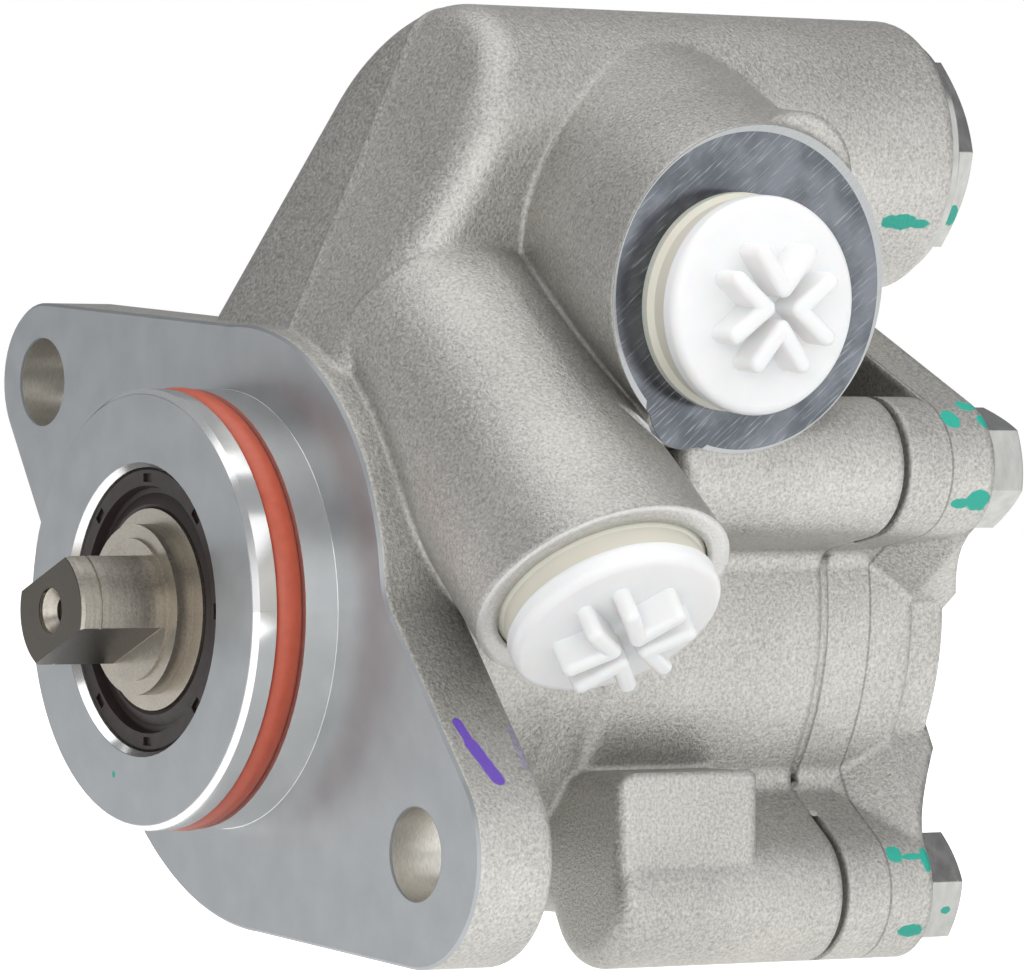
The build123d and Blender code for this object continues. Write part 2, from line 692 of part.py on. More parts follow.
def cover_bolts():
    """The four bolts, with their heads turned each in its own way."""
    bolt = cover_bolt()
    return Compound([Pos(x, 0, z) * Rot(0, turn, 0) * bolt for (x, z), turn in zip(BOLTS, BOLT_TURNS)])


def drive_shaft():
    """Shaft with the two-flat tang, the seal's seat and the seats of bearing, rotor and bush."""
    tip = SHOULDER_Y - TANG_LENGTH
    tail_end = COVER_BACK - TAIL_SINK
    shaft = turned([
        (0, tip),
        (TANG_R - SHAFT_BEVEL, tip),
        (TANG_R, tip + SHAFT_BEVEL),
        (TANG_R, tip + TANG_GROOVE),
        (TANG_R - TANG_GROOVE_DEPTH, tip + TANG_GROOVE),
        (TANG_R - TANG_GROOVE_DEPTH, tip + TANG_GROOVE + TANG_GROOVE_WIDTH),
        (TANG_R, tip + TANG_GROOVE + TANG_GROOVE_WIDTH),
        (TANG_R, SHOULDER_Y + 2 * FIT_GAP),
        (0, SHOULDER_Y + 2 * FIT_GAP),
    ])
    across = Rectangle(4 * TANG_R, TANG_ACROSS)
    flats = slab(Rot(0, 0, TANG_ANGLE) * across, tip - OVERLAP, SHOULDER_Y + OVERLAP)
    shaft = shaft & flats
    shaft += turned([
        (0, SHOULDER_Y),
        (SHOULDER_R, SHOULDER_Y),
        (SHOULDER_R, SHOULDER_Y + SHAFT_BEVEL),
        (COLLAR_R, SHOULDER_Y + SHAFT_BEVEL),
        (COLLAR_R, SEAL_FRONT + SHAFT_BEVEL),
        (SEAL_SEAT_R, SEAL_FRONT + SHAFT_BEVEL),
        (SEAL_SEAT_R, SEAL_BACK),
        (SHAFT_R + COLLAR_STEP, SEAL_BACK),
        (SHAFT_R + COLLAR_STEP, BEARING_FRONT),
        (SHAFT_R, BEARING_FRONT),
        (SHAFT_R, CAM_FRONT),
        (SPLINE_R, CAM_FRONT),
        (SPLINE_R, ROTOR_BACK),
        (TAIL_R, ROTOR_BACK),
        (TAIL_R, tail_end - TAIL_BEVEL),
        (TAIL_R - TAIL_BEVEL, tail_end),
        (0, tail_end),
    ])
    centre = turned([
        (0, tip - OVERLAP),
        (CENTRE_R, tip - OVERLAP),
        (CENTRE_R, tip + CENTRE_RIM),
        (CENTRE_DRILL_R, tip + CENTRE_RIM + CENTRE_CONE),
        (CENTRE_DRILL_R, tip + CENTRE_DEPTH),
        (0, tip + CENTRE_DEPTH + CENTRE_TIP),
    ])
    groove = washer(TAIL_R - CLIP_DEPTH, TAIL_R + OVERLAP, ROTOR_BACK, ROTOR_BACK + CLIP_WIRE)
    return shaft - centre - groove


def shaft_seal():
    """Lip seal: case, front web with eight pockets, and the lip under its spring."""
    lip_y = SEAL_FRONT + LIP_EDGE
    web_back = SEAL_FRONT + SEAL_SINK + SEAL_WEB
    seal = turned([
        (SHAFT_BORE_R, SEAL_FRONT + 0.5),
        (SHAFT_BORE_R - 0.4, SEAL_FRONT),
        (SHAFT_BORE_R - 2.6, SEAL_FRONT),
        (SHAFT_BORE_R - 2.9, SEAL_FRONT + SEAL_SINK),
        (SEAL_SEAT_R + LIP_R, SEAL_FRONT + SEAL_SINK),
        (SEAL_SEAT_R + 0.6, SEAL_FRONT + 0.7),
        (SEAL_SEAT_R + FIT_GAP, SEAL_FRONT + 1.0),
        (SEAL_SEAT_R + 0.7, SEAL_FRONT + 2.4),
        (SEAL_SEAT_R + FIT_GAP, lip_y),
        (SEAL_SEAT_R + 0.9, lip_y + LIP_BACK),
        (SEAL_SEAT_R + LIP_R, lip_y + LIP_BACK),
        (SEAL_SEAT_R + LIP_R, web_back),
        (SHAFT_BORE_R - SEAL_CASE, web_back),
        (SHAFT_BORE_R - SEAL_CASE, SEAL_BACK),
        (SHAFT_BORE_R, SEAL_BACK),
    ])
    spring_seat = ring(SEAL_SPRING_R + FIT_GAP, SEAL_SEAT_R + LIP_R, SEAL_SPRING_Y)
    pocket = Pos(0, SEAL_FRONT, SHAFT_BORE_R - 1.5) * Box(2.2, 1.0, 1.2)
    for cut in around(pocket, SEAL_POCKETS):
        seal -= cut
    return seal - spring_seat


def seal_spring():
    """Garter spring that closes the seal's lip."""
    return ring(SEAL_SPRING_R, SEAL_SEAT_R + LIP_R, SEAL_SPRING_Y)


def bearing_rings():
    """Outer and inner ring of the ball bearing, each with its raceway."""
    race = ring(BALL_R + BALL_GAP, BALL_CIRCLE / 2, BEARING_MIDDLE)
    outer = washer(BALL_CIRCLE / 2 + RACE_STEP, SHAFT_BORE_R, BEARING_FRONT, BEARING_BACK) - race
    inner = washer(SHAFT_R, BALL_CIRCLE / 2 - RACE_STEP, BEARING_FRONT, BEARING_BACK) - race
    return outer, inner


def bearing_balls():
    """The balls, spread by the cage."""
    return Compound(around(Pos(0, BEARING_MIDDLE, BALL_CIRCLE / 2) * Sphere(BALL_R), BALL_COUNT))


def bearing_cage():
    """Ring with a round pocket for each ball."""
    middle_r = BALL_CIRCLE / 2
    front = BEARING_MIDDLE - BALL_R - CAGE_RIM
    back = BEARING_MIDDLE + BALL_R + CAGE_RIM
    cage = washer(middle_r - CAGE_HALF, middle_r + CAGE_HALF, front, back)
    for pocket in around(Pos(0, BEARING_MIDDLE, middle_r) * Sphere(BALL_R + FIT_GAP), BALL_COUNT):
        cage -= pocket
    return cage


def bearing_circlip():
    """Inside circlip in front of the bearing, with its gap and two lugs."""
    outer = SHAFT_BORE_R + CLIP_GROOVE - FIT_GAP
    clip = washer(SHAFT_BORE_R - CLIP_BAND, outer, CLIP_FRONT, BEARING_FRONT)
    clip -= Pos(0, CLIP_FRONT, outer) * Box(CLIP_OPENING, 4 * CLIP_THICK, 3 * CLIP_BAND)
    for side in (-1, 1):
        x, z = polar(SHAFT_BORE_R - CLIP_EYE_SET, 90 + side * CLIP_EYE_ANGLE)
        clip += rod(CLIP_EYE_R, CLIP_FRONT, BEARING_FRONT, x, z)
        clip -= rod(CLIP_EYE_HOLE_R, CLIP_FRONT - OVERLAP, BEARING_FRONT + OVERLAP, x, z)
    return clip


def pressure_plate(y_from, bore_r):
    """Round plate with two kidney windows, shaft bore and pin holes."""
    plate = washer(bore_r, CAVITY_R - FIT_GAP, y_from, y_from + PLATE_THICK)
    for middle in (ROLL, 180 + ROLL):
        way = CenterArc((0, 0), KIDNEY_CIRCLE / 2, middle - KIDNEY_SPAN / 2, KIDNEY_SPAN)
        plate -= slab(SlotArc(way, KIDNEY_WIDTH), y_from - OVERLAP, y_from + PLATE_THICK + OVERLAP)
    for x, z in PINS:
        plate -= rod(PIN_R + FIT_GAP, y_from - OVERLAP, y_from + PLATE_THICK + OVERLAP, x, z)
    return plate


def rear_plate():
    """Rear plate with the groove of its sealing ring and room for the rotor's clip."""
    plate = pressure_plate(CAM_BACK, TAIL_R + TAIL_GAP)
    groove_front = CAM_BACK + (PLATE_THICK - PLATE_SEAL_ROOM) / 2
    plate -= washer(PLATE_GROOVE_R, CAVITY_R + OVERLAP, groove_front, groove_front + PLATE_SEAL_ROOM)
    return plate - rod(CLIP_ROOM_R, CAM_BACK - OVERLAP, CAM_BACK + CLIP_ROOM)


def cam_ring():
    """Ring with the oval track that drives the vanes."""
    ring_body = rod(CAVITY_R - FIT_GAP, CAM_FRONT, CAM_BACK)
    track = Rot(0, 0, ROLL) * Ellipse(CAM_LONG_R, CAM_SHORT_R)
    ring_body -= slab(track, CAM_FRONT - OVERLAP, CAM_BACK + OVERLAP)
    for x, z in PINS:
        ring_body -= rod(PIN_R + FIT_GAP, CAM_FRONT - OVERLAP, CAM_BACK + OVERLAP, x, z)
    return ring_body


def rotor():
    """Rotor with a slot for each vane, rounded out at its bottom."""
    body = rod(ROTOR_R, CAM_FRONT + FIT_GAP, ROTOR_BACK)
    foot = VANE_TIP_R - VANE_LENGTH - VANE_ROOM
    across = Rectangle(VANE_THICK + FIT_GAP, ROTOR_R, align=(Align.CENTER, Align.MIN))
    slot = slab(Pos(0, foot) * (across + Circle(SLOT_FOOT_R)), CAM_FRONT - OVERLAP, CAM_BACK + OVERLAP)
    for cut in around(slot, VANE_COUNT):
        body -= cut
    return body - rod(SPLINE_R, CAM_FRONT - OVERLAP, CAM_BACK + OVERLAP)


def vanes():
    """The vanes, each at the bottom of its slot."""
    width = ROTOR_BACK - CAM_FRONT - FIT_GAP
    vane = Box(VANE_THICK, width, VANE_LENGTH, align=(Align.CENTER, Align.MIN, Align.MAX))
    vane = fillet(vane.edges().filter_by(Axis.Y).group_by(Axis.Z)[-1], VANE_EDGE_R)
    return Compound(around(Pos(0, CAM_FRONT + FIT_GAP, VANE_TIP_R) * vane, VANE_COUNT))


def rotor_clip():
    """Snap ring in the shaft's groove behind the rotor."""
    front = ROTOR_BACK + FIT_GAP
    back = ROTOR_BACK + CLIP_WIRE - FIT_GAP
    return washer(TAIL_R - CLIP_DEPTH + 2 * FIT_GAP, TAIL_R + CLIP_STEP, front, back)


def plate_seal():
    """Sealing ring in the rear plate's groove."""
    return ring(PLATE_SEAL / 2, PLATE_GROOVE_R + PLATE_SEAL / 2 + FIT_GAP, CAM_BACK + PLATE_THICK / 2)


def cover_seal():
    """Sealing ring in the cover's groove at the joint."""
    return ring(COVER_SEAL_DEPTH / 2, (SEAL_IN_R + SEAL_OUT_R) / 2, JOINT_Y + COVER_SEAL_DEPTH / 2)


def rear_bush():
    """Plain bush in the cover for the shaft's tail."""
    return washer(TAIL_R + FIT_GAP, TAIL_R + BUSH_WALL, JOINT_Y + BUSH_FRONT, COVER_BACK - BUSH_SINK)


def locating_pins():
    """Dowels through plates and cam ring, each with its end in the casting."""
    front = CAVITY_FRONT - PIN_DEPTH + PIN_END_GAP
    return Compound([rod(PIN_R, front, PLATE_BACK - SPIGOT_GAP, x, z) for x, z in PINS])


def plate_spring():
    """Dished spring between the rear plate and the cover."""
    front = PLATE_BACK + FIT_GAP
    back = PLATE_BACK + SPRING_GAP
    inner = SPRING_R - DISH_ACROSS
    return turned([
        (inner, front),
        (inner + DISH_EDGE, front),
        (SPRING_R, back - DISH_THICK),
        (SPRING_R, back),
        (SPRING_R - DISH_EDGE, back),
        (inner, front + DISH_THICK),
    ])


def valve_parts():
    """Plug, its sealing ring, the spool and its spring, all on the valve's axis."""
    nose_y = VALVE_END_Y - PLUG_THREAD_LENGTH - PLUG_NOSE
    hex_front = VALVE_END_Y + PLUG_FLANGE
    hex_back = hex_front + PLUG_HEX
    thread_front = VALVE_END_Y - PLUG_THREAD_LENGTH + PLUG_RIM
    head = slab(RegularPolygon(PLUG_ACROSS / 2, 6, major_radius=False), hex_front, hex_back)
    head = head & turned([
        (0, hex_front),
        (PLUG_ACROSS, hex_front),
        (PLUG_CROWN_R, hex_back - PLUG_CROWN),
        (PLUG_ACROSS / 2 - 2 * PLUG_RIM, hex_back),
        (0, hex_back),
    ])
    plug = head + turned([
        (0, nose_y),
        (VALVE_BORE_R - PLUG_NOSE_STEP, nose_y),
        (VALVE_BORE_R - PLUG_NOSE_STEP, thread_front),
        (PLUG_THREAD_R - FIT_GAP, thread_front),
        (PLUG_THREAD_R - FIT_GAP, VALVE_END_Y),
        (PLUG_FLANGE_R - PLUG_RIM, VALVE_END_Y),
        (PLUG_FLANGE_R, VALVE_END_Y + PLUG_RIM),
        (PLUG_FLANGE_R, hex_front - PLUG_RIM),
        (PLUG_FLANGE_R - PLUG_RIM, hex_front),
        (0, hex_front),
    ])
    seal = washer(PLUG_THREAD_R + FIT_GAP, PLUG_SEAL_R - FIT_GAP, VALVE_END_Y - PLUG_SINK, VALVE_END_Y)
    spool_front = nose_y - SPOOL_LENGTH
    land_r = VALVE_BORE_R - SPOOL_GAP
    rear_land = nose_y - SPOOL_STEP
    spool = turned([
        (SPOOL_CUP_R, spool_front),
        (land_r, spool_front),
        (land_r, spool_front + SPOOL_FRONT_LAND),
        (land_r - SPOOL_WAIST, spool_front + SPOOL_FRONT_LAND),
        (land_r - SPOOL_WAIST, rear_land - SPOOL_REAR_LAND),
        (land_r, rear_land - SPOOL_REAR_LAND),
        (land_r, rear_land),
        (land_r - SPOOL_STEP, rear_land),
        (land_r - SPOOL_STEP, nose_y),
        (0, nose_y),
        (0, spool_front + SPOOL_CUP),
        (SPOOL_CUP_R, spool_front + SPOOL_CUP),
    ])
    spring_length = spool_front + SPOOL_CUP - VALVE_BORE_FRONT - 2 * SPRING_WIRE_R - 2 * FIT_GAP
    coil = Helix(spring_length / SPRING_TURNS, spring_length, SPRING_COIL_R)
    wire = Plane(coil @ 0, z_dir=coil % 0) * Circle(SPRING_WIRE_R)
    spring = sweep(wire, path=coil)
    spring = Pos(0, VALVE_BORE_FRONT + SPRING_WIRE_R + FIT_GAP, 0) * Rot(-90, 0, 0) * spring
    here = Pos(VALVE_X, 0, VALVE_Z)
    return here * plug, here * seal, here * spool, here * spring


def cap_grip():
    """Four angled ridges, set in a cross with a narrow way between each two."""
    arm = SlotOverall(CAP_RIB_LENGTH, CAP_RIB_WIDTH)
    reach = (CAP_RIB_LENGTH - CAP_RIB_WIDTH) / 2
    outline = Sketch()
    for turn in (0, 90, 180, 270):
        for side in (-CAP_RIB_ANGLE, CAP_RIB_ANGLE):
            x, y = polar(reach, side)
            outline += Rot(0, 0, turn) * Pos(CAP_RIB_START + CAP_RIB_WIDTH / 2 + x, y) * Rot(0, 0, side) * arm
    grip = extrude(outline, amount=CAP_RIB)
    return fillet(grip.faces().group_by(Axis.Z)[-1].edges(), CAP_RIB_EDGE_R)


def transit_cap(port, sink):
    """Push-in plastic cap: hollow stem, waisted head with a rounded rim and a crossed grip."""
    head = revolve(Plane.XZ * make_face(Polyline(
        (0, 0),
        (CAP_R, 0),
        (CAP_R, CAP_SKIRT),
        (CAP_WAIST_R, CAP_SKIRT + CAP_SKIRT_SLOPE),
        (CAP_WAIST_R, CAP_HEAD - CAP_RIM - CAP_RIM_SLOPE),
        (CAP_R, CAP_HEAD - CAP_RIM),
        (CAP_R, CAP_HEAD),
        (0, CAP_HEAD),
        close=True,
    )), Axis.Z)
    head = fillet(head.faces().sort_by(Axis.Z)[-1].edges(), CAP_EDGE_R)
    bottom = Align.MAX
    middle = Align.CENTER
    stem = Cylinder(CAP_STEM_R, CAP_STEM_LENGTH + OVERLAP, align=(middle, middle, bottom))
    hollow = Cylinder(CAP_STEM_R - CAP_WALL, CAP_STEM_LENGTH + OVERLAP, align=(middle, middle, bottom))
    cap = head + Pos(0, 0, OVERLAP) * stem - Pos(0, 0, -OVERLAP) * hollow
    cap += Pos(0, 0, CAP_HEAD - CAP_RIB_SINK) * cap_grip()
    return port * (Pos(0, 0, -sink) * cap)


SHOULDER_Y = PILOT_FACE_Y - TANG_STANDOFF
ROTOR_BACK = CAM_BACK - FIT_GAP
COVER_BACK = JOINT_Y + COVER_THICK
BEARING_MIDDLE = BEARING_FRONT + BEARING_WIDTH / 2

save(pump_body(), "pump_body")
save(pilot_ring(), "pilot_ring")
save(rear_cover(), "rear_cover")
save(cover_bolts(), "cover_bolts")
save(drive_shaft(), "drive_shaft")
save(shaft_seal(), "shaft_seal")
save(seal_spring(), "seal_spring")
outer_ring, inner_ring = bearing_rings()
save(outer_ring, "bearing_outer")
save(inner_ring, "bearing_inner")
save(bearing_balls(), "bearing_balls")
save(bearing_cage(), "bearing_cage")
save(bearing_circlip(), "bearing_circlip")
save(pressure_plate(CAVITY_FRONT, SHAFT_R + 0.4), "front_plate")
save(rear_plate(), "rear_plate")
save(cam_ring(), "cam_ring")
save(rotor(), "rotor")
save(vanes(), "vanes")
save(rotor_clip(), "rotor_clip")
save(locating_pins(), "locating_pins")
save(plate_seal(), "plate_seal")
save(plate_spring(), "plate_spring")
save(cover_seal(), "cover_seal")
save(rear_bush(), "rear_bush")
plug, plug_seal, spool, spring = valve_parts()
save(plug, "valve_plug")
save(plug_seal, "plug_seal")
save(spool, "valve_spool")
save(spring, "valve_spring")
save(transit_cap(SUCTION_PORT, 0), "suction_cap")
save(transit_cap(PRESSURE_PORT, PRESSURE_SINK), "pressure_cap")
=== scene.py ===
import json
import math

import bpy
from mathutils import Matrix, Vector


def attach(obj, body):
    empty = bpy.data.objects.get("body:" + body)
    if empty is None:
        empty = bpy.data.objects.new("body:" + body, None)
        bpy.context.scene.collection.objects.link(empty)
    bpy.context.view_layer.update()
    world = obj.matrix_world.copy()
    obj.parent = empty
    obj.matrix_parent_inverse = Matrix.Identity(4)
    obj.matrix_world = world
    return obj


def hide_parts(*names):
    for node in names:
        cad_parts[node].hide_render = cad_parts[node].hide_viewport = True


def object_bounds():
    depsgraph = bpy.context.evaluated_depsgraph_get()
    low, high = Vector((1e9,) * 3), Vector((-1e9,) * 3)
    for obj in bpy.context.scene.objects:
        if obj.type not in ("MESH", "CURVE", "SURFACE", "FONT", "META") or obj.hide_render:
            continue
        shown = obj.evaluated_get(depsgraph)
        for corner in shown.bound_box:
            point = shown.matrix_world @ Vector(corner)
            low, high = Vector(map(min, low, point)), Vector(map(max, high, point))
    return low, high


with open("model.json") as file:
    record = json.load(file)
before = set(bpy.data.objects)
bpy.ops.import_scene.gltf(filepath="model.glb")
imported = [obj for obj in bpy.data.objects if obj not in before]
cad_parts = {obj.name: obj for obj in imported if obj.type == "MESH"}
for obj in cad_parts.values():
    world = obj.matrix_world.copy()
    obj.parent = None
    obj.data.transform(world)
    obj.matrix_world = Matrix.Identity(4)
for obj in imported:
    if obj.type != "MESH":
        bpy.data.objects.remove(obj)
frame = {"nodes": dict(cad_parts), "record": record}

box_of_model = [list(corner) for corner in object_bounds()]
NODES = frame["nodes"]
MM = 0.001

# Places and directions that the finishes follow, in millimetres of the pump's own frame
SUCTION_FACE = (62.4, 46.9, 44.2)
SUCTION_NORMAL = (0.99452, 0.0, -0.10453)
SUCTION_REACH = 24.6
SUCTION_RIM_HIGHLIGHT_R = 22.0
MILLED_TAB = (60.7, 37.65, 28.3)
MILLED_TAB_R = 6.6
PRESSURE_FACE = (65.01, 21.0, 3.09)
PRESSURE_NORMAL = (0.61566, 0.0, -0.78801)
PRESSURE_SEAT_R = 19.0
SUCTION_SHADE_HEIGHT = 4.5
PRESSURE_SHADE_HEIGHT = 2.7
BETWEEN_PORTS_Z = 22.0
FLANGE_HOLES = ((50.6, -32.6), (-50.6, 32.6))
FLANGE_HOLE_R = 6.5
FLANGE_HOLE_END_Y = 12.6
FLANGE_FACE_DEPTH = 0.42
PILOT_R = 31.0
PILOT_FACE_Y = -13.3
TANG_END_Y = -27.7
TANG_ROOT_Y = -15.0
TANG_FLAT = (-0.3714, 0.0, 0.9285)
PARTING_X = 12.0
TOWER_BACK_Y = 35.0
TOWER_FOOT_Z = 30.0
COVER_LINE_Y = 84.2
COVER_CREASE_SHADE_HALF = 0.08
COVER_CREASE_SHADE_FADE = 0.28
FACE_TOLERANCE = 0.12
PILOT_CLEARANCE = 0.05
HOLE_WALL = 0.1
SCRATCH_ALONG = (0, 0.77, 0.64)
SCRATCH_ACROSS = (0, -0.64, 0.77)
SOFT_EDGE = 1.6
BOLT_SOFT_EDGE = 0.3

# The pilot's ring as it lies in its groove: squeezed to an oval section
RING_MIDDLE_R = 29.45
RING_HALF_RISE = 1.75
RING_MIDDLE_Y = -7.45
RING_HALF_WIDTH = 2.28

# Colours; a pair is the dark and the light of one grain
CAST = ((0.223, 0.217, 0.202), (0.586, 0.572, 0.54))
CAST_METALLIC = 0.85
SATIN = ((0.27, 0.285, 0.297), (0.38, 0.392, 0.40))
TURNED = ((0.64, 0.645, 0.64), (0.80, 0.80, 0.79))
DRILLED = ((0.38, 0.36, 0.32), (0.74, 0.72, 0.67))
# Painted reflection: dark colours of the milled face, standing for the dark room that it mirrors
MILLED_PAINTED_REFLECTION = ((0.08, 0.087, 0.10), (0.15, 0.16, 0.18))
MILLED_SCRATCH = (0.42, 0.45, 0.48)
# Painted highlight along the milled face's outer edge
MILLED_RIM_HIGHLIGHT = (0.33, 0.34, 0.34)
ZINC = ((0.27, 0.27, 0.26), (0.46, 0.46, 0.44))
SHAFT = ((0.17, 0.155, 0.133), (0.58, 0.535, 0.465))
TANG = (0.05, 0.045, 0.038)
CAP_HEAD = ((0.84, 0.845, 0.84), (0.90, 0.905, 0.905))
# Painted shade of the skirts under the caps' heads
CAP_SKIRT_SHADE = (0.72, 0.685, 0.59)
PAPER = (0.82, 0.82, 0.82, 1)
ROOM = (0.62, 0.63, 0.65, 1)
ROOM_STRENGTH = 0.57
WHITE = (1, 1, 1, 1)
GREEN = (0.012, 0.40, 0.30)
PURPLE = (0.13, 0.06, 0.42)

# Inspector's paint: centre and half sizes of each dab; start, end, half width and strength of each stroke
GREEN_DABS = (
    ((32.8, 94.6, 55.5), (2.6, 3.4, 1.3)),
    ((32.4, 98.4, 55.3), (2.0, 2.2, 0.7)),
    ((26.4, 108.8, 56.9), (2.2, 1.3, 1.7)),
    ((56.8, 85.8, 26.7), (2.6, 1.7, 1.6)),
    ((54.8, 90.0, 28.7), (2.4, 1.6, 0.9)),
    ((57.2, 91.4, 26.4), (2.0, 1.2, 1.2)),
    ((58.6, 89.4, 15.2), (2.6, 2.4, 1.8)),
    ((58.2, 86.6, 14.9), (2.2, 2.2, 0.8)),
    ((43.6, 85.8, -35.2), (2.4, 1.5, 1.3)),
    ((43.7, 88.6, -35.6), (2.0, 2.2, 0.5)),
    ((44.0, 91.0, -36.0), (2.2, 0.9, 1.9)),
    ((43.2, 88.9, -46.2), (2.4, 2.4, 1.1)),
    ((41.9, 96.1, -43.6), (1.2, 0.9, 0.6)),
    ((-7.1, -13.4, -23.3), (0.5, 1.0, 0.6)),
)
PURPLE_STROKES = (
    ((56.2, 3.2, -14.6), (58.6, 3.9, -17.6), 0.85, 1.0),
    ((58.6, 3.9, -17.6), (62.3, 5.7, -22.1), 1.15, 1.0),
    ((56.7, 11.6, -15.4), (60.9, 11.2, -20.4), 0.90, 0.28),
)

# Where a mark's edge starts to fade and where it ends, as a share of its half size
DAB_EDGE = (0.82, 0.98)
STROKE_EDGE = (0.8, 1.1)

# The studio, in metres: each softbox has its place, width, height and watts
PUMP_MIDDLE = (0.015, 0.045, 0.015)
SOFTBOXES = {
    "overhead softbox": ((0.10, -0.05, 0.75), 0.9, 0.9, 3.8),
    "softbox behind the camera": ((1.05, -0.64, 0.30), 1.2, 0.7, 6.0),
    "left softbox": ((-0.55, -0.70, 0.30), 0.5, 0.9, 0.5),
    "rear right softbox": ((0.85, 0.60, 0.42), 1.1, 0.8, 3.2),
}
FLOOR_REACH = 6.0

# The camera looks level, 17 mm over the shaft, as the photograph's own perspective gives it
CAMERA_PLACE = (0.89990, -0.54690, 0.01733)
CAMERA_AZIMUTH = 56.477
CAMERA_LENS = 262.03
CAMERA_SENSOR = 36.0
CAMERA_NEAR = 0.05
CAMERA_FAR = 20.0


class Wire:
    """A socket of a shader, so that sums of masks read as sums."""

    def __init__(self, nodes, socket):
        self.nodes = nodes
        self.socket = socket

    def _math(self, operation, first, second=None, clamp=False):
        values = {0: first} if second is None else {0: first, 1: second}
        return self.nodes.node("ShaderNodeMath", {"operation": operation, "use_clamp": clamp}, values)

    def __add__(self, other):
        return self._math("ADD", self, other)

    def __radd__(self, other):
        return self._math("ADD", other, self)

    def __sub__(self, other):
        return self._math("SUBTRACT", self, other)

    def __rsub__(self, other):
        return self._math("SUBTRACT", other, self)

    def __mul__(self, other):
        return self._math("MULTIPLY", self, other)

    def __rmul__(self, other):
        return self._math("MULTIPLY", other, self)

    def __truediv__(self, other):
        return self._math("DIVIDE", self, other)

    def __rtruediv__(self, other):
        return self._math("DIVIDE", other, self)

    def __lt__(self, other):
        return self._math("LESS_THAN", self, other)

    def __gt__(self, other):
        return self._math("GREATER_THAN", self, other)

    def __abs__(self):
        return self._math("ABSOLUTE", self)

    def clamped(self):
        """Kept between 0 and 1."""
        return self._math("ADD", self, 0.0, clamp=True)

    def largest(self, other):
        """The larger of two values: of masks, what either covers."""
        return self._math("MAXIMUM", self, other)


class Nodes:
    """The nodes of a material or of the world, each made by one call."""

    def __init__(self, tree):
        self.tree = tree

    def node(self, kind, settings, values, output=0):
        """A node with its settings, then the numbers or wires of its sockets; gives one of its outputs."""
        node = self.tree.nodes.new(kind)
        for key, value in settings.items():
            setattr(node, key, value)
        for key, value in values.items():
            if isinstance(value, Wire):
                self.tree.links.new(value.socket, node.inputs[key])
            else:
                node.inputs[key].default_value = value
        return Wire(self, node.outputs[output])

    def ray(self, kind):
        """1 for one kind of ray: Camera, Glossy or Transmission."""
        return self.node("ShaderNodeLightPath", {}, {}, f"Is {kind} Ray")


